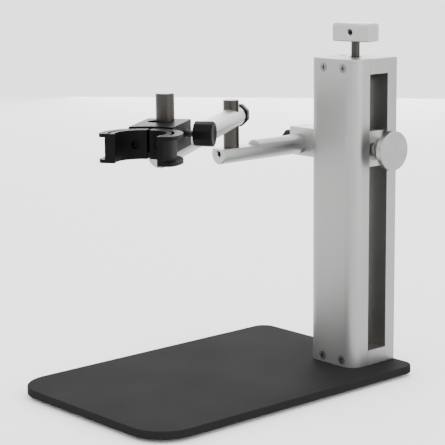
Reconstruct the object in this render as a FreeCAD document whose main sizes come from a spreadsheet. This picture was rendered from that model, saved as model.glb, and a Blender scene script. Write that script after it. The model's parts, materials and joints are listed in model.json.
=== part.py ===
"""Focusing stand for a handheld digital microscope, as a parametric document.

Millimetres, +Z up. The origin is the centre of the base plate's top face. The column stands at +Y and
the arm reaches towards -Y. Outlines, positions and lengths are formulas of the cells of one sheet.
"""
import FreeCAD, Part
import math
import os
import re

import Sketcher

SIZES = {
    # base plate and feet
    "base_width": 180.0,
    "base_length": 269.0,
    "base_thickness": 6.0,
    "base_front_round": 30.0,
    "base_back_round": 12.0,
    "base_edge": 0.8,
    "foot_radius": 8.0,
    "foot_height": 3.0,
    "foot_inset": 22.0,
    "foot_screw_hole": 1.6,
    # column
    "column_offset": 40.3,
    "column_width": 50.7,
    "column_height": 246.0,
    "column_round": 10.0,
    "column_back_round": 1.5,
    "column_edge": 0.8,
    "front_plate": 17.4,
    "slot_gap": 20.5,
    "back_plate": 11.1,
    "end_block": 12.0,
    "end_screw_spread": 21.0,
    "end_screw_right": 2.1,
    "end_screw_up": 5.0,
    "end_screw_down": 7.0,
    "seam_round": 0.5,
    "column_bolt_radius": 2.5,
    "column_bolt_spread": 41.0,
    # screw drive
    "screw_radius": 4.0,
    "screw_neck": 3.5,
    "screw_pitch": 2.0,
    "screw_forward": 2.15,
    "screw_right": 1.7,
    "bush_wall": 1.5,
    "bush_flange": 1.2,
    "rod_radius": 3.0,
    "rod_left": 16.0,
    "rod_back": 1.75,
    "collar_radius": 7.4,
    "collar_height": 6.0,
    # focus knob
    "knob_clearance": 12.4,
    "knob_length": 35.2,
    "knob_width": 18.5,
    "knob_height": 14.4,
    "knob_side_bulge": 90.0,
    "knob_end_bulge": 28.0,
    "knob_crown": 2.6,
    "knob_edge": 1.0,
    "knob_angle": 11.5,
    # carriage
    "carriage_level": 174.7,
    "carriage_height": 28.6,
    "carriage_recess": 3.4,
    "carriage_proud": 3.5,
    "carriage_edge": 0.4,
    "slide_gap": 0.25,
    "running_gap": 0.04,
    "thread_gap": 0.3,
    "fit_gap": 0.05,
    # half nut, release button and spring
    "nut_wall": 3.0,
    "nut_length": 18.5,
    "nut_width": 12.0,
    "nut_height": 14.0,
    "release_travel": 2.5,
    "pocket_gap": 0.5,
    "stem_radius": 2.5,
    "stem_engagement": 4.0,
    "button_radius": 15.6,
    "button_thickness": 6.2,
    "button_reach": 11.2,
    "spring_radius": 5.2,
    "spring_wire": 0.5,
    "spring_turns": 7.0,
    "spring_seat": 5.0,
    "sleeve_radius": 9.2,
    "sleeve_bore": 6.2,
    "sleeve_reach": 3.2,
    # arm block
    "arm_offset": -14.0,
    "arm_drop": 2.4,
    "block_wall": 3.0,
    "block_height": 23.4,
    "block_rise": 1.8,
    "block_edge": 0.6,
    "stud_radius": 4.0,
    "stud_length": 18.0,
    "stud_engagement": 6.0,
    "dowel_radius": 1.5,
    # arms and posts
    "arm_radius": 8.0,
    "main_arm_front": 15.0,
    "main_arm_behind": 9.5,
    "flat_length": 38.0,
    "flat_height": 4.2,
    "post_radius": 6.3,
    "post_setback": 13.8,
    "post_depth": 5.0,
    "post_edge": 0.5,
    "elbow_post_top": 42.0,
    "second_arm_level": 199.4,
    "second_arm_angle": -55.0,
    "post_spacing": 192.5,
    "second_arm_tail": 16.2,
    "holder_flat_length": 56.0,
    "holder_flat_height": 3.7,
    "holder_post_top": 40.4,
    # clamp screws, pads and knobs
    "clamp_screw_radius": 3.0,
    "pad_length": 1.6,
    "wide_knob_flats": 8.8,
    "wide_knob_thickness": 9.2,
    "wide_knob_gap": 2.4,
    "tall_knob_flats": 8.2,
    "tall_knob_thickness": 13.2,
    "tall_knob_gap": 5.6,
    "clamp_knob_edge": 0.9,
    "set_screw_radius": 2.0,
    "set_screw_length": 3.5,
    "countersink": 1.0,
    # holder
    "holder_angle": -55.0,
    "holder_behind": 12.0,
    "holder_half_width": 14.8,
    "holder_bottom": 4.5,
    "holder_top": 22.0,
    "holder_screw_height": 13.6,
    "holder_edge": 0.8,
    "relief_radius": 6.9,
    "relief_forward": 5.0,
    "relief_side": 3.6,
    "relief_depth": 6.0,
    "holder_screw_radius": 2.2,
    "insert_radius": 3.4,
    "insert_length": 5.0,
    "ring_forward": 58.0,
    "ring_bottom": 2.1,
    "ring_height": 18.9,
    "ring_bore": 16.5,
    "ring_web": 23.0,
    "ring_flange": 27.0,
    "ring_lip": 2.4,
    "left_reach": 5.5,
    "right_reach": 14.0,
    "ring_throat": 14.4,
    "ring_slit": 1.8,
    "ring_tip_round": 3.2,
    "root_half_width": 13.6,
    "spring_slot_radius": 20.6,
    "spring_slot_width": 2.0,
    "jaw_screw_side": 7.5,
    # common fasteners
    "small_screw_radius": 1.5,
    "small_head_radius": 2.8,
    "plate_screw_radius": 2.0,
    "plate_head_radius": 3.75,
    "plate_head_depth": 2.2,
    "plate_screw_length": 25.0,
    "cross_width": 1.0,
    "cross_length": 4.2,
    "cross_depth": 1.4,
    "cap_head_radius": 3.5,
    "cap_head_height": 4.0,
    "hex_flats": 3.0,
}

# places worked out from the sizes above, each in one formula
PLACES = {
    "column_left": "column_offset - column_width / 2",
    "column_right": "column_offset + column_width / 2",
    "column_back": "base_length / 2",
    "column_front": "column_back - back_plate - slot_gap - front_plate",
    "slot_front": "column_front + front_plate",
    "slot_back": "slot_front + slot_gap",
    "slot_middle": "slot_front + slot_gap / 2",
    "screw_across": "column_offset + screw_right",
    "screw_along": "slot_middle - screw_forward",
    "rod_across": "column_offset - rod_left",
    "rod_along": "slot_middle + rod_back",
    "floor_level": "0 - base_thickness - foot_height",
    "carriage_left": "column_left - carriage_proud",
    "carriage_right": "column_right - carriage_recess",
    "carriage_bottom": "carriage_level - carriage_height / 2",
    "arm_level": "carriage_level - arm_drop",
    "arm_block_left": "arm_offset - arm_radius - block_wall",
    "elbow_along": "main_arm_front + post_setback",
    "holder_across": "arm_offset + post_spacing * cos(second_arm_angle)",
    "holder_along": "elbow_along + post_spacing * sin(second_arm_angle)",
    "nut_left": "screw_across - screw_radius - thread_gap - nut_wall",
    "nut_front": "slot_front + slide_gap + 1",
    "button_left": "column_right + button_reach",
    "knob_bottom": "column_height + knob_clearance",
}

AXES = {
    "Z": FreeCAD.Rotation(),
    "X": FreeCAD.Rotation(FreeCAD.Vector(0, 1, 0), 90),
    "-X": FreeCAD.Rotation(FreeCAD.Vector(0, 1, 0), -90),
    "Y": FreeCAD.Rotation(FreeCAD.Vector(1, 0, 0), -90),
    "-Y": FreeCAD.Rotation(FreeCAD.Vector(1, 0, 0), 90),
    "-Z": FreeCAD.Rotation(FreeCAD.Vector(1, 0, 0), 180),
}

doc = FreeCAD.newDocument("focusing_stand")
sheet = doc.addObject("Spreadsheet::Sheet", "Sizes")
nodes = []
counter = {"made": 0}


def fill_sheet():
    """Write each size as a number and each place as a formula, all with aliases."""
    rows = list(SIZES.items()) + [(name, "=" + text) for name, text in PLACES.items()]
    for row, (name, content) in enumerate(rows, start=1):
        sheet.set(f"A{row}", name)
        sheet.set(f"B{row}", str(content))
        sheet.setAlias(f"B{row}", name)
    doc.recompute()


def formula(text):
    """Turn size names in a formula into references to the sheet."""
    names = re.compile(r"[a-z][a-z_]+[a-z]")
    known = SIZES.keys() | PLACES.keys()
    return names.sub(lambda found: "Sizes." + found[0] if found[0] in known else found[0], str(text))


def number(text):
    """The present value of a formula."""
    return float(sheet.evalExpression(formula(text)))


def new(kind, hint):
    """Add an object with a name of its own."""
    counter["made"] += 1
    return doc.addObject(kind, f"{hint}_{counter['made']}")


def bind(thing, **formulas):
    """Tie properties to formulas."""
    for name, text in formulas.items():
        thing.setExpression(name, formula(text))


def put(thing, at=(0, 0, 0), axis="Z"):
    """Turn a solid's +Z to the named axis and tie its place to formulas."""
    thing.Placement = FreeCAD.Placement(FreeCAD.Vector(), AXES[axis])
    for direction, text in zip("xyz", at):
        thing.setExpression("Placement.Base." + direction, formula(text))
    return thing


def box(corner, size):
    """A block from its lowest corner."""
    solid = new("Part::Box", "block")
    bind(solid, Length=size[0], Width=size[1], Height=size[2])
    return put(solid, corner)


def cylinder(radius, length, at=(0, 0, 0), axis="Z"):
    """A round bar that starts at a point and runs along an axis."""
    solid = new("Part::Cylinder", "bar")
    bind(solid, Radius=radius, Height=length)
    return put(solid, at, axis)


def cone(first_radius, last_radius, length, at=(0, 0, 0), axis="Z"):
    """A cone frustum that starts at a point and runs along an axis."""
    solid = new("Part::Cone", "taper")
    bind(solid, Radius1=first_radius, Radius2=last_radius, Height=length)
    return put(solid, at, axis)


def prism(sides, flats, length, at=(0, 0, 0), axis="Z"):
    """A regular prism given by the distance from its axis to a flat."""
    solid = new("Part::Prism", "prism")
    solid.Polygon = sides
    bind(solid, Circumradius=f"({flats}) / {math.cos(math.pi / sides):.6f}", Height=length)
    return put(solid, at, axis)


def fuse(*parts):
    """One solid from several that touch."""
    if len(parts) == 1:
        return parts[0]
    result = new("Part::MultiFuse", "joined")
    result.Shapes = list(parts)
    result.Refine = True
    return result


def cut(base, *tools):
    """A solid less the tools."""
    result = new("Part::Cut", "cut")
    result.Base = base
    result.Tool = fuse(*tools)
    result.Refine = True
    return result


def common(*parts):
    """What several solids share."""
    result = new("Part::MultiCommon", "shared")
    result.Shapes = list(parts)
    return result


def group(parts):
    """Identical separate solids in one node."""
    result = new("Part::Compound", "group")
    result.Links = list(parts)
    return result


def edge_numbers(shape, wanted):
    """Numbers of the edges whose midpoint and edge the test accepts."""
    found = []
    for index, edge in enumerate(shape.Edges, start=1):
        middle = edge.valueAt((edge.FirstParameter + edge.LastParameter) / 2)
        if wanted(edge, middle):
            found.append(index)
    return found


def bevel(base, size, wanted, kind="Part::Chamfer"):
    """Chamfer or fillet the edges that the test accepts."""
    doc.recompute()
    result = new(kind, "edged")
    result.Base = base
    amount = number(size)
    result.Edges = [(index, amount, amount) for index in edge_numbers(base.Shape, wanted)]
    return result


def soften(base, size, wanted):
    """Fillet the edges that the test accepts."""
    return bevel(base, size, wanted, "Part::Fillet")


def on_plane(axis, level):
    """A test for edges that lie in one plane across an axis."""
    place = number(level)
    pick = {"x": 0, "y": 1, "z": 2}[axis]
    def lies(edge, middle):
        ends = [vertex.Point[pick] for vertex in edge.Vertexes]
        return all(abs(end - place) < 1e-4 for end in ends + [middle[pick]])
    return lies


def is_upright(edge):
    """Whether an edge is a straight line along Z."""
    return edge.Curve.TypeId == "Part::GeomLine" and abs(abs(edge.tangentAt(0).z) - 1) < 1e-6


def is_along_y(edge):
    """Whether an edge is a straight line along Y."""
    return edge.Curve.TypeId == "Part::GeomLine" and abs(abs(edge.tangentAt(0).y) - 1) < 1e-6


def outline(body, plane, corners):
    """A closed outline in a body's own plane, each corner tied to formulas."""
    sketch = body.newObject("Sketcher::SketchObject", body.Name + "_outline")
    origin = next(item for item in body.Origin.OriginFeatures if item.Role == plane)
    sketch.AttachmentSupport = [(origin, "")]
    sketch.MapMode = "FlatFace"
    points = [FreeCAD.Vector(number(across), number(up), 0) for across, up in corners]
    count = len(points)
    for index in range(count):
        sketch.addGeometry(Part.LineSegment(points[index], points[(index + 1) % count]))
    for index in range(count):
        sketch.addConstraint(Sketcher.Constraint("Coincident", index, 2, (index + 1) % count, 1))
    for index, pair in enumerate(corners):
        for kind, text in zip(("DistanceX", "DistanceY"), pair):
            rule = Sketcher.Constraint(kind, -1, 1, index, 1, number(text))
            place = sketch.addConstraint(rule)
            sketch.setExpression(f"Constraints[{place}]", formula(text))
    return sketch


def turned(hint, corners):
    """A body turned about its own Z axis from half of its section."""
    body = new("PartDesign::Body", hint)
    sketch = outline(body, "XZ_Plane", corners)
    spin = body.newObject("PartDesign::Revolution", body.Name + "_turned")
    spin.Profile = sketch
    spin.ReferenceAxis = (sketch, ["V_Axis"])
    spin.Angle = 360
    return body


def plate(hint, corners, thickness):
    """A body cut from flat stock, its outline in the XY plane and its thickness up."""
    body = new("PartDesign::Body", hint)
    pad = body.newObject("PartDesign::Pad", body.Name + "_plate")
    pad.Profile = outline(body, "XY_Plane", corners)
    pad.setExpression("Length", formula(thickness))
    return body


def round_corners(body, radius, wanted):
    """Fillet edges of a body with a formula for the radius."""
    doc.recompute()
    previous = body.Tip
    fillet = body.newObject("PartDesign::Fillet", body.Name + "_round")
    fillet.Base = (previous, [f"Edge{i}" for i in edge_numbers(previous.Shape, wanted)])
    fillet.setExpression("Radius", formula(radius))
    return body


def swing(thing, pivot, angle):
    """Place a piece that was built about a pivot on its own +X, turned about Z."""
    thing.Placement = FreeCAD.Placement(FreeCAD.Vector(), FreeCAD.Rotation(FreeCAD.Vector(0, 0, 1), 1))
    thing.setExpression("Placement.Rotation.Angle", formula(angle))
    for direction, text in zip("xyz", pivot):
        thing.setExpression("Placement.Base." + direction, formula(text))
    return thing


def node(label, thing):
    """Name a finished piece and list it for export."""
    thing.Label = label
    nodes.append(thing)
    return thing


# ---------------------------------------------------------------- fasteners

def cross_recess(at, axis):
    """The cross in a screw's head, cut from the head's face inwards."""
    bars = []
    for first, second in (("cross_length", "cross_width"), ("cross_width", "cross_length")):
        bar = new("Part::Box", "cross")
        bind(bar, Length=first, Width=second, Height="cross_depth")
        bars.append(bar)
        put(bar, (f"0 - ({first}) / 2", f"0 - ({second}) / 2", "0"))
    cross = fuse(*bars)
    return put(cross, at, axis)


def countersunk_screw(at, axis):
    """A countersunk cross-head screw whose head face is at a point and whose shank runs along an axis."""
    head = cone("plate_head_radius - fit_gap", "plate_screw_radius - fit_gap", "plate_head_depth", at, axis)
    shank = cylinder("plate_screw_radius - fit_gap", "plate_screw_length", at, axis)
    return cut(fuse(head, shank), cross_recess(at, axis))


def countersunk_hole(at, axis, length):
    """The hole that a countersunk screw of the column goes in."""
    head = cone("plate_head_radius", "plate_screw_radius", "plate_head_depth", at, axis)
    return fuse(head, cylinder("plate_screw_radius", length, at, axis))


def cap_screw(at, axis, length, radius="plate_screw_radius", head="cap_head_radius"):
    """A socket cap screw: the head stands behind the point and the shank runs along the axis."""
    shank = cylinder(f"{radius} - fit_gap", length, at, axis)
    back = {"Z": "-Z", "-Z": "Z", "Y": "-Y", "-Y": "Y", "X": "-X", "-X": "X"}[axis]
    top = cylinder(f"{head} - fit_gap", "cap_head_height", at, back)
    socket_start = offset(at, back, "cap_head_height * 0.4")
    return cut(fuse(shank, top), prism(6, "hex_flats / 2", "cap_head_height", socket_start, back))


def offset(at, axis, distance):
    """A point moved along a named axis, as formulas."""
    sign = "-" if axis.startswith("-") else "+"
    place = "XYZ".index(axis[-1])
    return tuple(f"{text} {sign} ({distance})" if i == place else text for i, text in enumerate(at))


def set_screw(at, axis):
    """A headless socket screw that starts at a point and runs along an axis."""
    body = cylinder("set_screw_radius - fit_gap", "set_screw_length", at, axis)
    return cut(body, prism(6, "set_screw_radius / 2", "set_screw_length / 2", at, axis))


def set_screw_hole(at, axis, length):
    """A tapped hole with a countersunk mouth."""
    mouth = cone("set_screw_radius + countersink", "set_screw_radius", "countersink", at, axis)
    return fuse(mouth, cylinder("set_screw_radius", length, at, axis))


def clamp_knob(sides, flats, thickness, at, axis, screw_radius="clamp_screw_radius"):
    """A faceted hand knob, bevelled all round, with a blind hole for its screw."""
    blank = new("Part::Prism", "grip")
    blank.Polygon = sides
    bind(blank, Circumradius=f"{flats} / {math.cos(math.pi / sides):.6f}", Height=thickness)
    edged = bevel(blank, "clamp_knob_edge", lambda edge, middle: not is_upright(edge))
    hole = cylinder(screw_radius, f"{thickness} * 0.6")
    return put(cut(edged, hole), at, axis)


# ---------------------------------------------------------------- base and column

def foot_places():
    """The four foot centres."""
    across = "base_width / 2 - foot_inset"
    along = "base_length / 2 - foot_inset"
    return [(f"{i} * ({across})", f"{j} * ({along})") for i in (-1, 1) for j in (-1, 1)]


def bolt_places():
    """The four bolts that hold the column's plates and the bottom block to the base."""
    front = "column_front + front_plate / 2"
    back = "column_back - back_plate / 2 - 0.5"
    across = "column_bolt_spread / 2"
    return [(f"column_offset + {side} * {across}", along) for side in (-1, 1) for along in (front, back)]


def make_base():
    """Base plate, rubber feet, foot screws and column bolts."""
    half_width, half_length = "base_width / 2", "base_length / 2"
    corners = [(f"{i} * {half_width}", f"{j} * {half_length}") for i, j in ((-1, -1), (1, -1), (1, 1), (-1, 1))]
    body = plate("base_plate", corners, "base_thickness")
    round_corners(body, "base_front_round", lambda edge, middle: is_upright(edge) and middle.y < 0)
    round_corners(body, "base_back_round", lambda edge, middle: is_upright(edge) and middle.y > 0)
    round_corners(body, "base_edge", lambda edge, middle: middle.z > number("base_thickness") - 1e-4)
    put(body, (0, 0, "0 - base_thickness"))
    holes = [cylinder("foot_screw_hole", "base_thickness / 2", (x, y, "0 - base_thickness")) for x, y in foot_places()]
    for x, y in bolt_places():
        holes.append(cylinder("column_bolt_radius", "base_thickness", (x, y, "0 - base_thickness")))
        holes.append(cylinder("cap_head_radius + 0.5", "base_thickness / 2 + 1.2", (x, y, "0 - base_thickness")))
    node("base_plate", cut(body, *holes))

    feet = []
    screws = []
    for x, y in foot_places():
        section = [("small_screw_radius + 0.1", 0), ("foot_radius - 1.2", 0), ("foot_radius", 1.0),
                   ("foot_radius", "foot_height"), ("small_screw_radius + 0.1", "foot_height")]
        foot = put(turned("foot", section), (x, y, "floor_level"))
        well = cylinder("small_head_radius + 0.2", "foot_height - 1.2", (x, y, "floor_level"))
        feet.append(cut(foot, well))
        seat = (x, y, "floor_level + foot_height - 1.2")
        head = cylinder("small_head_radius", "1.0", (x, y, "floor_level + foot_height - 2.2"))
        shank = cylinder("small_screw_radius", "1.2 + base_thickness / 2 - 0.3", seat)
        recess = prism(6, "0.9", "0.6", (x, y, "floor_level + foot_height - 2.2"))
        screws.append(cut(fuse(head, shank), recess))
    node("rubber_feet", group(feet))
    node("foot_screws", group(screws))

    bolts = []
    for x, y in bolt_places():
        seat = (x, y, "0 - base_thickness / 2 + 1.2")
        bolts.append(column_bolt(seat))
    node("column_bolts", group(bolts))


def column_bolt(seat):
    """A bolt that goes up through the base, its low head sunk into the base's underside."""
    head = cylinder("cap_head_radius", "base_thickness / 2 + 0.6", offset(seat, "-Z", "base_thickness / 2 + 0.6"))
    shank = cylinder("column_bolt_radius - fit_gap", "16", seat)
    recess = prism(6, "hex_flats / 2", "2", offset(seat, "-Z", "base_thickness / 2 + 0.6"))
    return cut(fuse(head, shank), recess)


def end_screw_places():
    """Across and height of the two screws at each end of a column plate."""
    heights = ("end_screw_up", "column_height - end_screw_down")
    middle = "column_offset + end_screw_right"
    return [(f"{middle} + {side} * end_screw_spread / 2", height) for height in heights for side in (-1, 1)]


def make_column():
    """Front and back plates, end blocks and the screws that hold them together."""
    front = [("column_left", "column_front"), ("column_right", "column_front"),
             ("column_right", "slot_front"), ("column_left", "slot_front")]
    front_body = plate("column_front_plate", front, "column_height")
    is_front = lambda edge, middle: is_upright(edge) and middle.y < number("column_front") + 1e-3
    round_corners(front_body, "column_round", is_front)
    at_seam = lambda edge, middle: is_upright(edge) and middle.y > number("slot_front") - 1e-3
    round_corners(front_body, "seam_round / 2", at_seam)
    top = lambda middle: middle.z > number("column_height") - 1e-3
    is_rim = lambda edge, middle: top(middle) and middle.y < number("slot_front - seam_round")
    round_corners(front_body, "column_edge", is_rim)
    holes = [countersunk_hole((x, "column_front", z), "Y", "front_plate") for x, z in end_screw_places()]
    for x, y in bolt_places():
        holes.append(cylinder("column_bolt_radius", "17", (x, y, 0)))
    node("column_front_plate", cut(front_body, *holes))
    screws = [countersunk_screw((x, "column_front", z), "Y") for x, z in end_screw_places()]
    node("front_screws", group(screws))

    back = [("column_left", "slot_back"), ("column_right", "slot_back"),
            ("column_right", "column_back"), ("column_left", "column_back")]
    back_body = plate("column_back_plate", back, "column_height")
    is_back = lambda edge, middle: is_upright(edge) and middle.y > number("column_back") - 1e-3
    round_corners(back_body, "column_back_round", is_back)
    at_seam = lambda edge, middle: is_upright(edge) and middle.y < number("slot_back") + 1e-3
    round_corners(back_body, "seam_round", at_seam)
    is_rim = lambda edge, middle: top(middle) and middle.y > number("slot_back + seam_round") + 1e-3
    round_corners(back_body, "column_edge", is_rim)
    holes = []
    screws = []
    for x, z in end_screw_places():
        holes.append(cylinder("plate_screw_radius", "back_plate", (x, "column_back", z), "-Y"))
        holes.append(cylinder("cap_head_radius + 0.3", "cap_head_height + 0.5", (x, "column_back", z), "-Y"))
        screws.append(cap_screw((x, "column_back - cap_head_height - 0.5", z), "-Y", "back_plate + 3"))
    for x, y in bolt_places():
        holes.append(cylinder("column_bolt_radius", "17", (x, y, 0)))
    node("column_back_plate", cut(back_body, *holes))
    node("back_screws", group(screws))

    for name, low in (("bottom_block", "0"), ("top_block", "column_height - end_block")):
        block = box(("column_left", "slot_front", low), ("column_width", "slot_gap", "end_block"))
        if name == "top_block":
            block = soften(block, "column_edge", lambda edge, middle: top(middle) and is_along_y(edge))
        holes = [cylinder("rod_radius", "end_block", ("rod_across", "rod_along", low)),
                 cylinder("screw_radius + bush_wall", "end_block", ("screw_across", "screw_along", low))]
        for x, z in end_screw_places():
            holes.append(cylinder("plate_screw_radius", "8", (x, "slot_front", z), "Y"))
            holes.append(cylinder("plate_screw_radius", "8", (x, "slot_back", z), "-Y"))
        node(name, cut(block, *holes))
    node("guide_rod", cylinder("rod_radius - fit_gap", "column_height - 1", ("rod_across", "rod_along", "0.5")))


# ---------------------------------------------------------------- screw drive

def make_drive():
    """Bushes, lead screw, collar, focus knob and its set screw."""
    for name, level, axis in (("lower_bush", "end_block", "-Z"), ("upper_bush", "column_height - end_block", "Z")):
        section = [("screw_neck + running_gap", "0 - bush_flange"), ("screw_radius + bush_wall + 1", "0 - bush_flange"),
                   ("screw_radius + bush_wall + 1", 0), ("screw_radius + bush_wall - fit_gap", 0),
                   ("screw_radius + bush_wall - fit_gap", "end_block - 1"), ("screw_neck + running_gap", "end_block - 1")]
        node(name, put(turned(name, section), ("screw_across", "screw_along", level), axis))

    low = "end_block + bush_flange + 0.2"
    high = "column_height - end_block - bush_flange - collar_height - 0.4"
    length = f"({high}) - ({low})"
    thread = cylinder("screw_radius", length, ("screw_across", "screw_along", low))
    spindle = cylinder("screw_neck", "knob_bottom + knob_height * 0.7 - 2", ("screw_across", "screw_along", "2"))
    node("lead_screw", fuse(thread, spindle))

    collar_base = ("screw_across", "screw_along", high)
    collar = cylinder("collar_radius", "collar_height", offset(collar_base, "Z", "0.2"))
    bore = cylinder("screw_neck + fit_gap", "collar_height + 1", collar_base)
    tapped = ("screw_across + collar_radius", "screw_along", f"{high} + collar_height / 2 + 0.2")
    node("screw_collar", cut(collar, bore, set_screw_hole(tapped, "-X", "collar_radius")))
    node("collar_set_screw", set_screw(offset(tapped, "-X", "0.3"), "-X"))
    make_focus_knob()


def make_focus_knob():
    """An oblong bar knob with four bulging sides and a tapped hole in its front."""
    blank = box(("0 - knob_length / 2", "0 - knob_width / 2", 0), ("knob_length", "knob_width", "knob_height"))
    sides = [blank]
    for side in (-1, 1):
        sides.append(cylinder("knob_side_bulge", "knob_height", (0, f"{side} * (knob_width / 2 - knob_side_bulge)", 0)))
        sides.append(cylinder("knob_end_bulge", "knob_height", (f"{side} * (knob_length / 2 - knob_end_bulge)", 0, 0)))
    bar = common(*sides)
    low = soften(bar, "knob_edge", on_plane("z", "0"))
    softened = soften(low, "knob_crown", on_plane("z", "knob_height"))
    bore = cylinder("screw_neck + fit_gap", "knob_height * 0.7", (0, 0, 0))
    mouth = (0, "0 - knob_width / 2", "knob_height / 2")
    knob = cut(softened, bore, set_screw_hole(mouth, "Y", "knob_width / 2"))
    place = ("screw_across", "screw_along", "knob_bottom")
    node("focus_knob", swing(knob, place, "knob_angle"))
    screw = set_screw((0, "0 - screw_neck - set_screw_length - 0.1", "knob_height / 2"), "Y")
    node("knob_set_screw", swing(fuse_copy(screw), place, "knob_angle"))


def fuse_copy(thing):
    """Wrap a finished solid so that it can be placed as a whole."""
    result = new("Part::Compound", "whole")
    result.Links = [thing]
    return result


# ---------------------------------------------------------------- carriage

def make_carriage():
    """The block that slides in the column, with its bushes, half nut, release button and spring."""
    low = ("carriage_left", "slot_front + slide_gap", "carriage_bottom")
    size = ("carriage_right - carriage_left", "slot_gap - 2 * slide_gap", "carriage_height")
    is_end = lambda edge, middle: abs(middle.x - number("carriage_right")) < 1e-3
    block = bevel(box(low, size), "carriage_edge", is_end)
    bush_outer = "rod_radius + bush_wall"
    stem_start = ("nut_left + nut_length - stem_engagement", "slot_middle", "carriage_level")
    holes = [
        cylinder("screw_radius + 1", "carriage_height", ("screw_across", "screw_along", "carriage_bottom")),
        cylinder(bush_outer, "carriage_height", ("rod_across", "rod_along", "carriage_bottom")),
        box(("nut_left - release_travel - pocket_gap", "slot_front - 1", "carriage_level - nut_height / 2 - pocket_gap"),
            ("nut_length + release_travel + 2 * pocket_gap", "nut_front + nut_width + pocket_gap - slot_front + 1",
             "nut_height + 2 * pocket_gap")),
        cylinder("stem_radius + running_gap", "40", stem_start, "X"),
        cylinder("spring_radius + 0.6", "40", ("carriage_right - spring_seat", "slot_middle", "carriage_level"), "X"),
        cylinder("sleeve_radius", "10", ("carriage_right - 3", "slot_middle", "carriage_level"), "X"),
        cylinder("stud_radius", "stud_engagement + 0.5", ("carriage_left", "slot_middle", "arm_level"), "X"),
        cylinder("dowel_radius", "6", ("carriage_left", "slot_middle", "arm_level - 8"), "X"),
    ]
    node("carriage", cut(block, *holes))

    bushes = []
    for start, axis in (("carriage_bottom", "Z"), ("carriage_bottom + carriage_height", "-Z")):
        section = [("rod_radius + running_gap", 0), (f"{bush_outer} - fit_gap", 0),
                   (f"{bush_outer} - fit_gap", 9), ("rod_radius + running_gap", 9)]
        bushes.append(put(turned("bush", section), ("rod_across", "rod_along", start), axis))
    node("guide_bushes", group(bushes))

    sleeve = cylinder("sleeve_radius - fit_gap", "3 + sleeve_reach + carriage_recess",
                      ("carriage_right - 3", "slot_middle", "carriage_level"), "X")
    node("spring_sleeve", cut(sleeve, cylinder("sleeve_bore", "40",
                                               ("carriage_right - 5", "slot_middle", "carriage_level"), "X")))
    make_release(stem_start)


def make_release(stem_start):
    """Half nut, stem, button and coil spring."""
    nut_low = "carriage_level - nut_height / 2"
    nut = box(("nut_left", "nut_front", nut_low), ("nut_length", "nut_width", "nut_height"))
    window_radius = "screw_radius + thread_gap"
    near = ("screw_across", "screw_along", nut_low)
    far = ("screw_across + release_travel + 0.3", "screw_along", nut_low)
    window = [cylinder(window_radius, "nut_height", near), cylinder(window_radius, "nut_height", far),
              box(("screw_across", f"screw_along - ({window_radius})", nut_low),
                  ("release_travel + 0.3", f"2 * ({window_radius})", "nut_height"))]
    stem_hole = cylinder("stem_radius", "stem_engagement + 1", stem_start, "X")
    node("half_nut", cut(nut, stem_hole, *window))
    stem_length = "button_left + 3 - (nut_left + nut_length - stem_engagement)"
    node("release_stem", cylinder("stem_radius - fit_gap", stem_length, stem_start, "X"))

    section = [(0, 3), ("stem_radius", 3), ("stem_radius", 0), ("button_radius - 0.8", 0), ("button_radius", 0.8),
               ("button_radius", "button_thickness - 0.8"), ("button_radius - 0.8", "button_thickness"),
               (0, "button_thickness")]
    button = turned("release_button", section)
    node("release_button", put(button, ("button_left", "slot_middle", "carriage_level"), "X"))

    spring_start = number("carriage_right - spring_seat")
    spring_length = number("button_left") - spring_start
    wire = number("spring_wire")
    radius = number("spring_radius") - wire
    pitch = (spring_length - 2 * wire) / number("spring_turns")
    path = Part.makeHelix(pitch, spring_length - 2 * wire, radius)
    ring = Part.Wire(Part.makeCircle(wire, FreeCAD.Vector(radius, 0, 0), FreeCAD.Vector(0, 1, 0)))
    coil = new("Part::Feature", "spring")
    coil.Shape = Part.Wire(path).makePipeShell([ring], True, True)
    coil.Placement = FreeCAD.Placement(
        FreeCAD.Vector(spring_start + wire, number("slot_middle"), number("carriage_level")), AXES["X"])
    node("release_spring", coil)


# ---------------------------------------------------------------- arm block and main arm

def make_arm_block():
    """The block beside the column that holds the main arm, with its stud, dowel and clamp."""
    bottom = "arm_level + block_rise - block_height / 2"
    block = box(("arm_block_left", "slot_front + slide_gap", bottom),
                ("carriage_left - arm_block_left", "slot_gap - 2 * slide_gap", "block_height"))
    edged = bevel(block, "block_edge", lambda edge, middle: middle.x < number("carriage_left") - 1)
    screw_start = ("arm_block_left", "slot_middle", "arm_level")
    stud_start = "carriage_left + stud_engagement - stud_length"
    holes = [
        cylinder("arm_radius + running_gap", "slot_gap + 4", ("arm_offset", "slot_front - 2", "arm_level"), "Y"),
        cylinder("clamp_screw_radius", "block_wall + 1", screw_start, "X"),
        cylinder("stud_radius", "stud_length", (stud_start, "slot_middle", "arm_level"), "X"),
        cylinder("dowel_radius", "8", ("carriage_left - 8", "slot_middle", "arm_level - 8"), "X"),
    ]
    node("arm_block", cut(edged, *holes))
    node("arm_stud", cylinder("stud_radius - fit_gap", "stud_length", (stud_start, "slot_middle", "arm_level"), "X"))
    node("arm_dowel", cylinder("dowel_radius - fit_gap", "12", ("carriage_left - 7", "slot_middle", "arm_level - 8"), "X"))

    pad_face = "arm_offset - arm_radius - running_gap"
    node("arm_pad", cylinder("clamp_screw_radius - 0.4", "pad_length",
                             (f"{pad_face} - pad_length", "slot_middle", "arm_level"), "X"))
    tip = (f"{pad_face} - pad_length", "slot_middle", "arm_level")
    length = f"{pad_face} - pad_length - arm_block_left + wide_knob_gap + wide_knob_thickness * 0.55"
    node("arm_clamp_screw", cylinder("clamp_screw_radius - fit_gap", length, tip, "-X"))
    knob = clamp_knob(8, "wide_knob_flats", "wide_knob_thickness", offset(screw_start, "-X", "wide_knob_gap"), "-X")
    node("arm_clamp_knob", knob)


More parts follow.
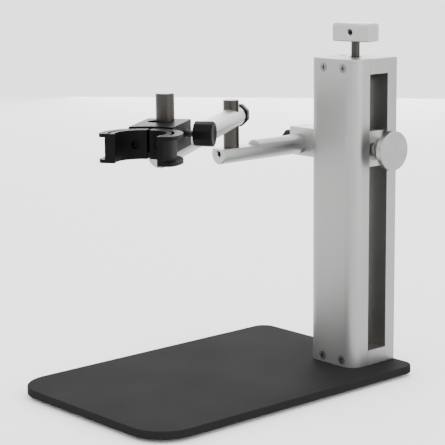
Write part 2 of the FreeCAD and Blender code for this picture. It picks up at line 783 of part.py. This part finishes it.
def make_main_arm():
    """The main arm rod with its flat, the elbow post and the set screw in the rod's end."""
    length = "slot_back + main_arm_behind - main_arm_front"
    start = ("arm_offset", "main_arm_front", "arm_level")
    rod = cylinder("arm_radius", length, start, "Y")
    edged = bevel(rod, "block_edge", lambda edge, middle: edge.Curve.TypeId == "Part::GeomCircle")
    flat = box(("arm_offset - arm_radius", "main_arm_front - 1", "arm_level + flat_height"),
               ("2 * arm_radius", "flat_length + 1", "arm_radius"))
    post_base = ("arm_offset", "elbow_along", "arm_level - post_depth")
    hole = cylinder("post_radius", "30", post_base)
    node("main_arm", cut(edged, flat, hole, set_screw_hole(start, "Y", "post_setback")))
    node("elbow_set_screw", set_screw(offset(start, "Y", "post_setback - post_radius - set_screw_length - 0.1"), "Y"))
    post = cylinder("post_radius - fit_gap", "post_depth + elbow_post_top", post_base)
    node("elbow_post", bevel(post, "post_edge", on_plane("z", "arm_level + elbow_post_top")))


# ---------------------------------------------------------------- second arm, built along its own +X

def make_second_arm():
    """The second arm with its clamp at the elbow and the post that carries the holder."""
    pivot = ("arm_offset", "elbow_along", "second_arm_level")
    tail = "0 - second_arm_tail"
    nose = "post_spacing + post_setback + 1.5"
    rod = cylinder("arm_radius", f"{nose} + second_arm_tail", (tail, 0, 0), "X")
    edged = bevel(rod, "block_edge", lambda edge, middle: edge.Curve.TypeId == "Part::GeomCircle")
    flat = box((f"{nose} - holder_flat_length", "0 - arm_radius", "holder_flat_height"),
               ("holder_flat_length + 1", "2 * arm_radius", "arm_radius"))
    holes = [
        flat,
        cylinder("post_radius + running_gap", "40", (0, 0, "0 - 20")),
        cylinder("post_radius", "30", ("post_spacing", 0, "0 - post_depth")),
        cylinder("clamp_screw_radius", "second_arm_tail", (tail, 0, 0), "X"),
        set_screw_hole((nose, 0, 0), "-X", "post_setback"),
    ]
    angle = "second_arm_angle"
    node("second_arm", swing(cut(edged, *holes), pivot, angle))

    pad_face = "0 - post_radius - running_gap"
    pad = cylinder("clamp_screw_radius - 0.4", "pad_length", (f"{pad_face} - pad_length", 0, 0), "X")
    node("elbow_pad", swing(fuse_copy(pad), pivot, angle))
    length = f"{pad_face} - pad_length + second_arm_tail + wide_knob_gap + wide_knob_thickness * 0.55"
    screw = cylinder("clamp_screw_radius - fit_gap", length, (f"{pad_face} - pad_length", 0, 0), "-X")
    node("elbow_clamp_screw", swing(fuse_copy(screw), pivot, angle))
    knob = clamp_knob(8, "wide_knob_flats", "wide_knob_thickness", (f"{tail} - wide_knob_gap", 0, 0), "-X")
    node("elbow_clamp_knob", swing(fuse_copy(knob), pivot, angle))

    post = cylinder("post_radius - fit_gap", "post_depth + holder_post_top", ("post_spacing", 0, "0 - post_depth"))
    topped = bevel(post, "post_edge", on_plane("z", "holder_post_top"))
    node("holder_post", swing(fuse_copy(topped), pivot, angle))
    screw_at = (f"post_spacing + post_radius + set_screw_length + 0.1", 0, 0)
    node("holder_set_screw", swing(fuse_copy(set_screw(screw_at, "-X")), pivot, angle))


# ---------------------------------------------------------------- holder, built along its own +X

def make_holder():
    """Holder block, its clamp on the post, and the two jaws of the ring."""
    pivot = ("holder_across", "holder_along", "second_arm_level")
    height = "holder_top - holder_bottom"
    block = box(("0 - holder_behind", "0 - holder_half_width", "holder_bottom"),
                ("holder_behind + ring_forward", "2 * holder_half_width", height))
    ring_space = cylinder("ring_flange", "60", ("ring_forward", 0, "0 - 20"))
    front_space = box(("ring_forward", "0 - 40", "0 - 20"), ("60", "80", "60"))
    body = cut(block, ring_space, front_space)
    edged = bevel(body, "holder_edge", lambda edge, middle: middle.x < -number("holder_behind") + 1e-3)
    side_start = (0, "holder_half_width", "holder_screw_height")
    holes = [
        cylinder("post_radius + running_gap", "60", (0, 0, "0 - 20")),
        cylinder("relief_radius", "20", ("relief_forward", "0 - relief_side", "holder_top - relief_depth")),
        cylinder("holder_screw_radius", "holder_half_width", side_start, "-Y"),
        cylinder("insert_radius", "insert_length", side_start, "-Y"),
    ]
    for side in (-1, 1):
        holes.append(jaw_screw_bar("small_screw_radius", "30", side, "0 - 20"))
    node("holder_block", swing(cut(edged, *holes), pivot, "holder_angle"))

    insert = cut(cylinder("insert_radius - fit_gap", "insert_length", side_start, "-Y"),
                 cylinder("holder_screw_radius", "20", side_start, "-Y"))
    node("thread_insert", swing(fuse_copy(insert), pivot, "holder_angle"))
    start = (0, "post_radius + running_gap", "holder_screw_height")
    length = "holder_half_width - post_radius - running_gap + tall_knob_gap + tall_knob_thickness * 0.55"
    screw = cylinder("holder_screw_radius - fit_gap", length, start, "Y")
    node("holder_clamp_screw", swing(fuse_copy(screw), pivot, "holder_angle"))
    knob_at = offset(side_start, "Y", "tall_knob_gap")
    knob = clamp_knob(10, "tall_knob_flats", "tall_knob_thickness", knob_at, "Y", "holder_screw_radius")
    node("holder_clamp_knob", swing(fuse_copy(knob), pivot, "holder_angle"))
    make_jaws(pivot)


def jaw_screw_bar(radius, length, side, start):
    """A round bar along the holder at one jaw screw's place."""
    height = "ring_bottom + ring_height / 2"
    return cylinder(radius, length, (f"ring_forward + ({start})", f"{side} * jaw_screw_side", height), "-X")


def make_jaws(pivot):
    """Two halves of a C ring with an outward flange at its top and bottom."""
    screws = []
    for name, side, reach in (("left_jaw", -1, "left_reach"), ("right_jaw", 1, "right_reach")):
        centre = ("ring_forward", 0, "ring_bottom")
        web = cylinder("ring_web", "ring_height", centre)
        lips = [cylinder("ring_flange - fit_gap", "ring_lip", centre),
                cylinder("ring_flange - fit_gap", "ring_lip", offset(centre, "Z", "ring_height - ring_lip"))]
        root = common(cylinder("ring_flange - fit_gap", "ring_height", centre),
                      box(("ring_forward - ring_flange", "0 - root_half_width", "ring_bottom"),
                          ("ring_flange", "2 * root_half_width", "ring_height")))
        ring = fuse(web, root, *lips)
        keep = box(("ring_forward - 40", "0" if side > 0 else "0 - 40", "ring_bottom"),
                   (f"40 + {reach}", "40", "ring_height"))
        half = common(ring, keep)
        tip = lambda edge, middle: is_upright(edge) and is_lip_tip(edge, middle, number(reach))
        rounded = soften(half, "ring_tip_round", tip)
        slot_side = ("ring_forward", 0, "ring_bottom + ring_height - ring_lip")
        slot = spring_slot(slot_side, side)
        throat = box(("ring_forward", "0 - ring_throat", "ring_bottom"), ("40", "2 * ring_throat", "ring_height"))
        holes = [cylinder("ring_bore", "ring_height", centre), throat,
                 box(("ring_forward - 40", "0 - ring_slit / 2", "ring_bottom"), ("40", "ring_slit", "ring_height")),
                 slot,
                 jaw_screw_bar("small_screw_radius", "20", side, "0 - 10"),
                 jaw_head_space(side)]
        node(name, swing(cut(rounded, *holes), pivot, "holder_angle"))
        screws.append(jaw_screw(side))
    node("jaw_screws", swing(group(screws), pivot, "holder_angle"))


def is_lip_tip(edge, middle, reach):
    """Whether an upright edge is a flange's outer corner at the jaw's tip."""
    forward = middle.x - number("ring_forward")
    is_outer = math.hypot(forward, middle.y) > number("ring_flange") - 1
    return edge.Length < number("ring_lip") + 1e-3 and abs(forward - reach) < 1e-3 and is_outer


def spring_slot(at, side):
    """A curved slot in the top flange beside the wall, from the mouth side to the root."""
    outer = cylinder("spring_slot_radius + spring_slot_width / 2", "ring_lip", at)
    inner = cylinder("spring_slot_radius - spring_slot_width / 2", "ring_lip", at)
    band = cut(outer, inner)
    low = "4" if side > 0 else "0 - 40"
    reach = box(("ring_forward - 14", f"{low}", at[2]), ("18", "36", "ring_lip"))
    return common(band, reach)


def head_start():
    """How far behind the ring's centre a jaw screw's head starts."""
    return "0 - ring_bore - 1.6"


def jaw_head_space(side):
    """The counterbore of a jaw screw, open to the ring's bore."""
    height = "ring_bottom + ring_height / 2"
    at = (f"ring_forward + ({head_start()})", f"{side} * jaw_screw_side", height)
    return cylinder("small_head_radius + 0.2", "12", at, "X")


def jaw_screw(side):
    """A cap screw that holds a jaw to the block from inside the ring."""
    height = "ring_bottom + ring_height / 2"
    at = (f"ring_forward + ({head_start()})", f"{side} * jaw_screw_side", height)
    shank = cylinder("small_screw_radius - fit_gap", "16", at, "-X")
    head = cylinder("small_head_radius", "1.6", at, "X")
    return cut(fuse(shank, head), prism(6, "1", "1.6", offset(at, "X", "0.8"), "X"))


# ---------------------------------------------------------------- build, check and export

def check_document():
    """Stop if any object failed or any piece is empty or faulty."""
    failed = [thing.Name for thing in doc.Objects if {"Invalid", "Error"} & set(thing.State)]
    if failed:
        raise RuntimeError("failed objects: " + ", ".join(failed))
    for piece in nodes:
        if piece.Shape.isNull() or not piece.Shape.isValid() or not piece.Shape.Solids:
            raise RuntimeError("faulty shape: " + piece.Label)


def export():
    """Write one STEP file for each node."""
    os.makedirs("parts", exist_ok=True)
    for piece in nodes:
        piece.Shape.exportStep(os.path.join("parts", piece.Label + ".step"))


fill_sheet()
make_base()
make_column()
make_drive()
make_carriage()
make_arm_block()
make_main_arm()
make_second_arm()
make_holder()
doc.recompute()
check_document()
export()
for piece in nodes:
    print(piece.Label, len(piece.Shape.Solids), round(piece.Shape.Volume, 1))
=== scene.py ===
"""Looks of the focusing stand: finishes, detailed pieces, studio and camera."""
import json
import math

import bmesh
import bpy
from mathutils import Matrix, Vector


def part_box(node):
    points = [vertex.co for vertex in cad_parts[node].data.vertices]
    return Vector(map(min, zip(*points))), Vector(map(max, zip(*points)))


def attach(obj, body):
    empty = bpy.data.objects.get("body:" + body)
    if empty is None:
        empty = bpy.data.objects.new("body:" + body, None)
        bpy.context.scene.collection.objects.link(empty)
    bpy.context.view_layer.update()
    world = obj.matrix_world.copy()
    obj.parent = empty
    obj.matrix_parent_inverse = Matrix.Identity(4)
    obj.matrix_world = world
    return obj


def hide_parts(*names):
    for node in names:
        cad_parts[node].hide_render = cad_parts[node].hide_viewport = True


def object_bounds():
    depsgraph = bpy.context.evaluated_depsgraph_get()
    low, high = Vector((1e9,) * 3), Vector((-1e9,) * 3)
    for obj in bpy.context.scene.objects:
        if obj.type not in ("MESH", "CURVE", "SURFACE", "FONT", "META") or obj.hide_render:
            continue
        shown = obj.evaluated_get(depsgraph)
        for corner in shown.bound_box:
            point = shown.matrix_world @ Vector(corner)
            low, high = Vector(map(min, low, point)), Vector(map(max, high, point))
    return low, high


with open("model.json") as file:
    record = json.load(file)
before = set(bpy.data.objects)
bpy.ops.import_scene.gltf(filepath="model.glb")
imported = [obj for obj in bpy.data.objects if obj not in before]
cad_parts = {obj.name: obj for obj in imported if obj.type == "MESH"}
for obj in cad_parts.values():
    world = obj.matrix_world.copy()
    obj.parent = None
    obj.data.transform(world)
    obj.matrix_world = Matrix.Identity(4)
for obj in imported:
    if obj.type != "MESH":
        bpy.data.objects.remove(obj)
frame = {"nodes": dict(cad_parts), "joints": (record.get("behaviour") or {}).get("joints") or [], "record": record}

CAD_LOW, CAD_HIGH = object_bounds()
NODES = frame["nodes"]
RECORD = frame["record"]
SLOT_OF = {part["node"]: part["material_slot"] for part in RECORD["subparts"]}
JOINT = {joint["name"]: joint for joint in frame["joints"]}
MM = 0.001

HOLDER_POST = Vector(JOINT["holder_swing"]["pos_m"])
ELBOW = Vector(JOINT["elbow_swing"]["pos_m"])
REACH = HOLDER_POST - ELBOW
ARM_ANGLE = math.atan2(REACH.y, REACH.x)


def middle(node):
    """The centre of a CAD node's box."""
    low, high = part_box(node)
    return (low + high) / 2


# ---------------------------------------------------------------- node materials

class Finish:
    """A node material with short ways to add what a surface shows."""

    def __init__(self, name, colour, metallic, roughness, specular=0.5):
        self.material = bpy.data.materials.new(name)
        self.material.use_nodes = True
        self.tree = self.material.node_tree
        self.shader = self.tree.nodes["Principled BSDF"]
        self.shader.inputs["Base Color"].default_value = (*colour, 1)
        self.shader.inputs["Metallic"].default_value = metallic
        self.shader.inputs["Roughness"].default_value = roughness
        self.shader.inputs["Specular IOR Level"].default_value = specular
        self.colour = colour
        self.roughness = roughness
        self.height = None

    def add(self, kind, **settings):
        """A new shader node with some of its settings."""
        made = self.tree.nodes.new(kind)
        for name, value in settings.items():
            setattr(made, name, value)
        return made

    def link(self, output, target):
        """Join an output socket to an input socket."""
        self.tree.links.new(output, target)

    def place(self, size, centre=(0, 0, 0), turn=(0, 0, 0)):
        """Coordinates counted in features of the given size, about a centre, turned with the piece."""
        source = self.add("ShaderNodeTexCoord")
        mapping = self.add("ShaderNodeMapping", vector_type="TEXTURE")
        mapping.inputs["Location"].default_value = centre
        mapping.inputs["Rotation"].default_value = turn
        mapping.inputs["Scale"].default_value = size
        self.link(source.outputs["Object"], mapping.inputs["Vector"])
        return mapping.outputs["Vector"]

    def noise(self, vector, detail=3.0, distortion=0.0):
        """Soft noise, one feature to a unit of its coordinates."""
        made = self.add("ShaderNodeTexNoise")
        made.inputs["Scale"].default_value = 1.0
        made.inputs["Detail"].default_value = detail
        made.inputs["Distortion"].default_value = distortion
        self.link(vector, made.inputs["Vector"])
        return made.outputs["Fac"]

    def rings(self, vector, axis, distortion=0.6):
        """Turning marks round an axis."""
        made = self.add("ShaderNodeTexWave", wave_type="RINGS", rings_direction=axis)
        made.inputs["Scale"].default_value = 1.0
        made.inputs["Distortion"].default_value = distortion
        made.inputs["Detail"].default_value = 3.0
        self.link(vector, made.inputs["Vector"])
        return made.outputs["Fac"]

    def spread(self, value, low, high, start=0.0, end=1.0):
        """A value moved to a new range."""
        made = self.add("ShaderNodeMapRange")
        for name, number in (("From Min", start), ("From Max", end), ("To Min", low), ("To Max", high)):
            made.inputs[name].default_value = number
        self.link(value, made.inputs["Value"])
        return made.outputs["Result"]

    def vary_roughness(self, value, amount):
        """Let a value move the roughness up and down."""
        low, high = self.roughness - amount, self.roughness + amount
        self.link(self.spread(value, low, high, 0.25, 0.75), self.shader.inputs["Roughness"])

    def vary_colour(self, value, darker, lighter):
        """Let a value move the colour between a darker and a lighter shade."""
        ramp = self.add("ShaderNodeValToRGB")
        ramp.color_ramp.elements[0].position = 0.3
        ramp.color_ramp.elements[1].position = 0.7
        ramp.color_ramp.elements[0].color = (*[part * darker for part in self.colour], 1)
        ramp.color_ramp.elements[1].color = (*[min(part * lighter, 1) for part in self.colour], 1)
        self.link(value, ramp.inputs["Fac"])
        self.link(ramp.outputs["Color"], self.shader.inputs["Base Color"])

    def relief(self, value, depth, strength=1.0):
        """Raise the surface by a value times a depth; several reliefs add up."""
        bump = self.add("ShaderNodeBump")
        bump.inputs["Strength"].default_value = strength
        bump.inputs["Distance"].default_value = depth
        self.link(value, bump.inputs["Height"])
        if self.height is not None:
            self.link(self.height, bump.inputs["Normal"])
        self.height = bump.outputs["Normal"]
        self.link(self.height, self.shader.inputs["Normal"])


def blasted_aluminium(name, colour, roughness):
    """Bead-blasted and anodised aluminium with the faint grain of its extrusion along Z."""
    finish = Finish(name, colour, 1.0, roughness)
    grain = finish.noise(finish.place((0.35 * MM, 0.35 * MM, 0.35 * MM)), 4)
    lines = finish.noise(finish.place((0.5 * MM, 0.5 * MM, 60 * MM)), 2)
    clouds = finish.noise(finish.place((38 * MM, 38 * MM, 70 * MM)), 2)
    finish.vary_colour(clouds, 0.95, 1.04)
    finish.vary_roughness(clouds, 0.03)
    finish.relief(lines, 0.006 * MM)
    finish.relief(grain, 0.012 * MM)
    return finish.material


def drawn_metal(name, colour, roughness, centre, turn):
    """Round bar with fine draw lines along its own X axis."""
    finish = Finish(name, colour, 1.0, roughness)
    streaks = finish.noise(finish.place((45 * MM, 0.28 * MM, 0.28 * MM), centre, turn), 4)
    clouds = finish.noise(finish.place((16 * MM, 9 * MM, 9 * MM), centre, turn), 2)
    grain = finish.noise(finish.place((0.3 * MM, 0.3 * MM, 0.3 * MM), centre, turn), 2)
    finish.vary_colour(clouds, 0.94, 1.05)
    finish.vary_roughness(streaks, 0.05)
    finish.relief(streaks, 0.008 * MM)
    finish.relief(grain, 0.006 * MM)
    return finish.material


def turned_metal(name, colour, roughness, centre, axis):
    """Lathe-turned metal with rings about an axis of the piece."""
    finish = Finish(name, colour, 1.0, roughness)
    place = finish.place((0.35 * MM,) * 3, centre)
    rings = finish.rings(place, axis)
    clouds = finish.noise(finish.place((8 * MM,) * 3, centre), 2)
    grain = finish.noise(finish.place((0.25 * MM,) * 3, centre), 3)
    finish.vary_colour(clouds, 0.95, 1.04)
    finish.vary_roughness(grain, 0.05)
    finish.relief(rings, 0.005 * MM)
    finish.relief(grain, 0.006 * MM)
    return finish.material


def powder_coat(name, colour, roughness):
    """Fine-textured powder coat with a soft orange peel."""
    finish = Finish(name, colour, 0.0, roughness, 0.03)
    grit = finish.noise(finish.place((0.55 * MM,) * 3), 4)
    peel = finish.noise(finish.place((2.4 * MM,) * 3), 2)
    clouds = finish.noise(finish.place((60 * MM,) * 3), 3)
    finish.vary_colour(grit, 0.82, 1.22)
    finish.vary_roughness(clouds, 0.04)
    finish.relief(peel, 0.035 * MM)
    finish.relief(grit, 0.05 * MM)
    return finish.material


def black_anodised(name, colour, roughness):
    """Black anodised aluminium with fine milling lines."""
    finish = Finish(name, colour, 0.0, roughness, 0.06)
    turn = (0, 0, ARM_ANGLE)
    lines = finish.noise(finish.place((12 * MM, 0.3 * MM, 6 * MM), HOLDER_POST, turn), 3)
    grain = finish.noise(finish.place((0.35 * MM,) * 3), 4)
    clouds = finish.noise(finish.place((14 * MM,) * 3), 2)
    finish.vary_colour(clouds, 0.85, 1.25)
    finish.vary_roughness(grain, 0.06)
    finish.relief(lines, 0.008 * MM)
    finish.relief(grain, 0.012 * MM)
    return finish.material


def moulded_plastic(name, colour, roughness):
    """Moulded plastic with a spark-eroded texture."""
    finish = Finish(name, colour, 0.0, roughness, 0.06)
    texture = finish.noise(finish.place((0.45 * MM,) * 3), 3)
    clouds = finish.noise(finish.place((5 * MM,) * 3), 2)
    finish.vary_colour(clouds, 0.85, 1.2)
    finish.vary_roughness(texture, 0.05)
    finish.relief(texture, 0.03 * MM)
    return finish.material


def moulded_rubber(name, colour, roughness):
    """Soft black rubber with dust in its texture."""
    finish = Finish(name, colour, 0.0, roughness, 0.3)
    texture = finish.noise(finish.place((0.7 * MM,) * 3), 4)
    finish.vary_colour(texture, 0.8, 1.6)
    finish.vary_roughness(texture, 0.06)
    finish.relief(texture, 0.05 * MM)
    return finish.material


ALONG_Y = (0, 0, math.pi / 2)
ALONG_Z = (0, math.pi / 2, 0)
ALONG_ARM = (0, 0, ARM_ANGLE)
LIGHT_METAL = (0.33, 0.33, 0.325)
COLUMN_METAL = (0.26, 0.26, 0.256)
NICKEL = (0.040, 0.0375, 0.034)


def make_finishes():
    """Every finish, by the name of the slot or node that takes it."""
    button_middle = middle("release_button")
    return {
        "base_paint": powder_coat("base_paint", (0.0105, 0.0102, 0.0102), 0.74),
        "column_aluminium": blasted_aluminium("column_aluminium", COLUMN_METAL, 0.40),
        "bright_aluminium": blasted_aluminium("bright_aluminium", LIGHT_METAL, 0.36),
        "black_anodised": black_anodised("black_anodised", (0.002, 0.002, 0.0021), 0.42),
        "black_plastic": moulded_plastic("black_plastic", (0.002, 0.002, 0.0021), 0.42),
        "rubber": moulded_rubber("rubber", (0.02, 0.02, 0.02), 0.75),
        "nylon": moulded_plastic("nylon", (0.72, 0.70, 0.64), 0.5),
        # front screw heads: colour is partly their own darker steel and partly painted shade for the shade in
        # their cross recesses
        "front_screws": drawn_metal("screw_steel_painted_shade", (0.16, 0.16, 0.16), 0.35, (0, 0, 0), ALONG_Y),
        "thread_insert": drawn_metal("insert_finish", (0.03, 0.028, 0.024), 0.4, (0, 0, 0), ALONG_Z),
        "steel": drawn_metal("steel", (0.62, 0.62, 0.62), 0.28, (0, 0, 0), ALONG_Z),
        "dark_steel": drawn_metal("dark_steel", NICKEL, 0.3, (0, 0, 0), ALONG_Z),
        "brass": turned_metal("brass", (0.72, 0.52, 0.22), 0.3, middle("upper_bush"), "Z"),
        "main_arm": drawn_metal("main_arm_finish", LIGHT_METAL, 0.38, middle("main_arm"), ALONG_Y),
        "second_arm": drawn_metal("second_arm_finish", LIGHT_METAL, 0.38, ELBOW, ALONG_ARM),
        "release_button": turned_metal("button_finish", COLUMN_METAL, 0.34, button_middle, "X"),
        "spring_sleeve": turned_metal("sleeve_finish", LIGHT_METAL, 0.32, middle("spring_sleeve"), "X"),
    }


FINISHES = make_finishes()


def finish_cad_nodes():
    """Give every CAD node its finish."""
    for name, piece in NODES.items():
        finish = FINISHES.get(name, FINISHES[SLOT_OF[name]])
        piece.data.materials.clear()
        piece.data.materials.append(finish)


# ---------------------------------------------------------------- detailed pieces

def new_piece(name, mesh_maker, body, slot, replaced):
    """A mesh piece that rides on a body and stands for a CAD node."""
    mesh = bmesh.new()
    mesh_maker(mesh)
    bmesh.ops.recalc_face_normals(mesh, faces=mesh.faces)
    data = bpy.data.meshes.new(name)
    mesh.to_mesh(data)
    mesh.free()
    piece = bpy.data.objects.new(name, data)
    bpy.context.scene.collection.objects.link(piece)
    data.materials.append(FINISHES[slot])
    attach(piece, body)
    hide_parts(replaced)
    return piece


def smooth(piece, angle=35):
    """Smooth shading except over sharp edges."""
    data = piece.data
    limit = math.radians(angle)
    for face in data.polygons:
        face.use_smooth = True
    mesh = bmesh.new()
    mesh.from_mesh(data)
    for edge in mesh.edges:
        edge.smooth = len(edge.link_faces) == 2 and edge.calc_face_angle(0) < limit
    mesh.to_mesh(data)
    mesh.free()


def skin(mesh, rings):
    """Join rows of vertices into a tube and close its ends."""
    rows = [[mesh.verts.new(point) for point in ring] for ring in rings]
    count = len(rows[0])
    for low, high in zip(rows, rows[1:]):
        for index in range(count):
            other = (index + 1) % count
            mesh.faces.new((low[index], low[other], high[other], high[index]))
    mesh.faces.new(reversed(rows[0]))
    mesh.faces.new(rows[-1])


def axis_matrix(start, axis):
    """A matrix that takes +Z at the origin to an axis at a point."""
    turn = Vector(axis).to_track_quat("Z", "Y").to_matrix().to_4x4()
    return Matrix.Translation(start) @ turn


def lathe(mesh, matrix, profile, count=64):
    """A closed turned solid from a profile of (radius, height) points, from one end to the other."""
    rings = []
    for radius, height in profile:
        ring = []
        for index in range(count):
            angle = 2 * math.pi * index / count
            ring.append(matrix @ Vector((radius * math.cos(angle), radius * math.sin(angle), height)))
        rings.append(ring)
    skin(mesh, rings)


def rounded_polygon(sides, flats, corner, steps=5):
    """A regular polygon's outline with rounded corners, as (radius, angle) pairs."""
    points = []
    half = math.pi / sides
    centre = (flats - corner) / math.cos(half)
    for side in range(sides):
        middle_angle = 2 * math.pi * (side + 0.5) / sides
        for step in range(steps + 1):
            arc = middle_angle - half + 2 * half * step / steps
            x = centre * math.cos(middle_angle) + corner * math.cos(arc)
            y = centre * math.sin(middle_angle) + corner * math.sin(arc)
            points.append((math.hypot(x, y), math.atan2(y, x)))
    return points


def hand_knob(mesh, matrix, sides, flats, thickness):
    """A moulded knob: rounded facets, soft edges, a dished end and a low boss round the screw."""
    outline = rounded_polygon(sides, flats, flats * 0.28)
    edge = 0.9 * MM
    rim = 1.9 * MM
    dish = 0.45 * MM
    boss = 3.9 * MM
    angles = [math.radians(degrees) for degrees in (0, 30, 60, 90)]
    steps = [(1 - math.sin(angle), 1 - math.cos(angle)) for angle in angles]
    rows = [(edge * inset, edge * height) for inset, height in steps]
    rows += [(edge * inset, thickness - edge * height) for inset, height in reversed(steps)]
    rows += [(edge + rim, thickness), (edge + rim + dish, thickness - dish)]
    rings = []
    for inset, height in rows:
        ring = []
        for radius, angle in outline:
            reach = radius - inset
            ring.append(matrix @ Vector((reach * math.cos(angle), reach * math.sin(angle), height)))
        rings.append(ring)
    skin(mesh, rings)
    boss_foot = -0.6 * MM
    lathe(mesh, matrix, [(boss * 0.86, boss_foot), (boss, boss_foot), (boss, 0.2 * MM)], 32)


def make_hand_knobs():
    """The three black clamp knobs."""
    for label, sides in (("arm_clamp", 8), ("elbow_clamp", 8), ("holder_clamp", 10)):
        joint = JOINT[label + "_turn"]
        axis = Vector(joint["axis"])
        pivot = Vector(joint["pos_m"])
        spots = [vertex.co for vertex in NODES[label + "_knob"].data.vertices]
        heights = [(spot - pivot).dot(axis) for spot in spots]
        reach = max(((spot - pivot) - axis * height).length for spot, height in zip(spots, heights))
        start = pivot + axis * min(heights)
        flats = reach * math.cos(math.pi / sides)
        matrix = axis_matrix(start, axis)
        thickness = max(heights) - min(heights)
        maker = lambda mesh: hand_knob(mesh, matrix, sides, flats, thickness)
        knob = new_piece(label + "_grip", maker, label, "black_plastic", label + "_knob")
        smooth(knob, 50)


def make_lead_screw():
    """The lead screw: a trapezoidal thread between plain collars, on a thinner plain spindle."""
    low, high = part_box("lead_screw")
    centre = (low + high) / 2
    crest = 4.0 * MM
    root = 3.0 * MM
    neck = 3.45 * MM
    pitch = 2.0 * MM
    around = 40
    axis_place = Matrix.Translation((centre.x, centre.y, 0))
    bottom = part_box("lower_bush")[1].z + 0.2 * MM
    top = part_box("screw_collar")[0].z - 0.2 * MM
    # one pitch of the trapezoidal thread: share of the pitch and radius at each corner
    corners = ((0.0, root), (0.37, root), (0.5, crest), (0.87, crest))
    turns = int((top - bottom) / pitch) - 2

    def maker(mesh):
        columns = []
        for column in range(around):
            share = column / around
            angle = 2 * math.pi * share
            points = []
            for row in range(4 * turns + 1):
                phase, radius = corners[row % 4]
                height = bottom + pitch * (0.5 + row // 4 + phase + share)
                points.append(mesh.verts.new((centre.x + radius * math.cos(angle),
                                              centre.y + radius * math.sin(angle), height)))
            columns.append(points)
        for column in range(around):
            first = columns[column]
            second = columns[(column + 1) % around]
            step = 4 if column == around - 1 else 0
            for row in range(len(first) - 1 - step):
                mesh.faces.new((first[row], second[row + step], second[row + step + 1], first[row + 1]))
        bmesh.ops.holes_fill(mesh, edges=[edge for edge in mesh.edges if edge.is_boundary], sides=0)
        bevel = 0.5 * MM
        plain = 1.6 * pitch
        for start, end in ((bottom, bottom + plain), (top - plain, top)):
            profile = [(root, start), (crest, start + bevel), (crest, end - bevel), (root, end)]
            lathe(mesh, axis_place, profile, around)
        tip = 0.4 * MM
        profile = [(neck - tip, low.z), (neck, low.z + tip), (neck, high.z - tip), (neck - tip, high.z)]
        lathe(mesh, axis_place, profile, around)

    screw = new_piece("threaded_spindle", maker, "focus_screw", "dark_steel", "lead_screw")
    smooth(screw, 40)


finish_cad_nodes()
make_hand_knobs()
make_lead_screw()


# ---------------------------------------------------------------- studio and camera

def make_floor():
    """A large pale floor that the feet stand on."""
    mesh = bmesh.new()
    bmesh.ops.create_grid(mesh, x_segments=1, y_segments=1, size=30)
    data = bpy.data.meshes.new("studio_floor")
    mesh.to_mesh(data)
    mesh.free()
    floor = bpy.data.objects.new("studio_floor", data)
    floor.location.z = CAD_LOW.z
    bpy.context.scene.collection.objects.link(floor)
    paper = Finish("floor_paper", (0.83, 0.83, 0.83), 0.0, 0.9, 0.2)
    data.materials.append(paper.material)


def make_world():
    """An even pale surround."""
    world = bpy.data.worlds.new("studio")
    bpy.context.scene.world = world
    world.use_nodes = True
    world.node_tree.nodes["Background"].inputs["Color"].default_value = (1, 1, 1, 1)
    world.node_tree.nodes["Background"].inputs["Strength"].default_value = 2.8


def soft_light(name, place, target, size, power):
    """A square soft box that faces a point."""
    data = bpy.data.lights.new(name, "AREA")
    data.size = size
    data.energy = power
    light = bpy.data.objects.new(name, data)
    light.location = place
    light.rotation_mode = "QUATERNION"
    light.rotation_quaternion = (Vector(target) - Vector(place)).to_track_quat("-Z", "Y")
    bpy.context.scene.collection.objects.link(light)


def make_lights():
    """A soft box overhead, a large one behind at the left and a weaker one at the right."""
    centre = (CAD_LOW + CAD_HIGH) / 2
    soft_light("overhead", (0.0, 0.2, 1.5), centre, 1.2, 10)
    soft_light("back_left", (-1.3, 1.5, 0.5), centre, 1.2, 16)
    soft_light("right_fill", (1.5, 0.3, 0.6), centre, 0.8, 8)


CAMERA_AZIMUTH = math.radians(48.559)
CAMERA_ELEVATION = math.radians(10.804)
CAMERA_ROLL = math.radians(-0.529)
CAMERA_DISTANCE = 1.2083
CAMERA_TARGET = Vector((0.0072, 0.0, 0.12275))
CAMERA_LENS = 126.15


def make_camera():
    """A view from the right of the front, a little above."""
    data = bpy.data.cameras.new("camera")
    data.sensor_width = 36
    data.lens = CAMERA_LENS
    data.dof.use_dof = False
    data.clip_end = 100
    camera = bpy.data.objects.new("camera", data)
    flat = math.cos(CAMERA_ELEVATION)
    right = Vector((math.cos(CAMERA_AZIMUTH), math.sin(CAMERA_AZIMUTH), 0))
    back = Vector((right.y * flat, -right.x * flat, math.sin(CAMERA_ELEVATION)))
    up = back.cross(right)
    turned_right = math.cos(CAMERA_ROLL) * right + math.sin(CAMERA_ROLL) * up
    turned_up = math.cos(CAMERA_ROLL) * up - math.sin(CAMERA_ROLL) * right
    turn = Matrix((turned_right, turned_up, back)).transposed()
    camera.matrix_world = Matrix.Translation(CAMERA_TARGET + back * CAMERA_DISTANCE) @ turn.to_4x4()
    bpy.context.scene.collection.objects.link(camera)
    bpy.context.scene.camera = camera


make_floor()
make_world()
make_lights()
make_camera()
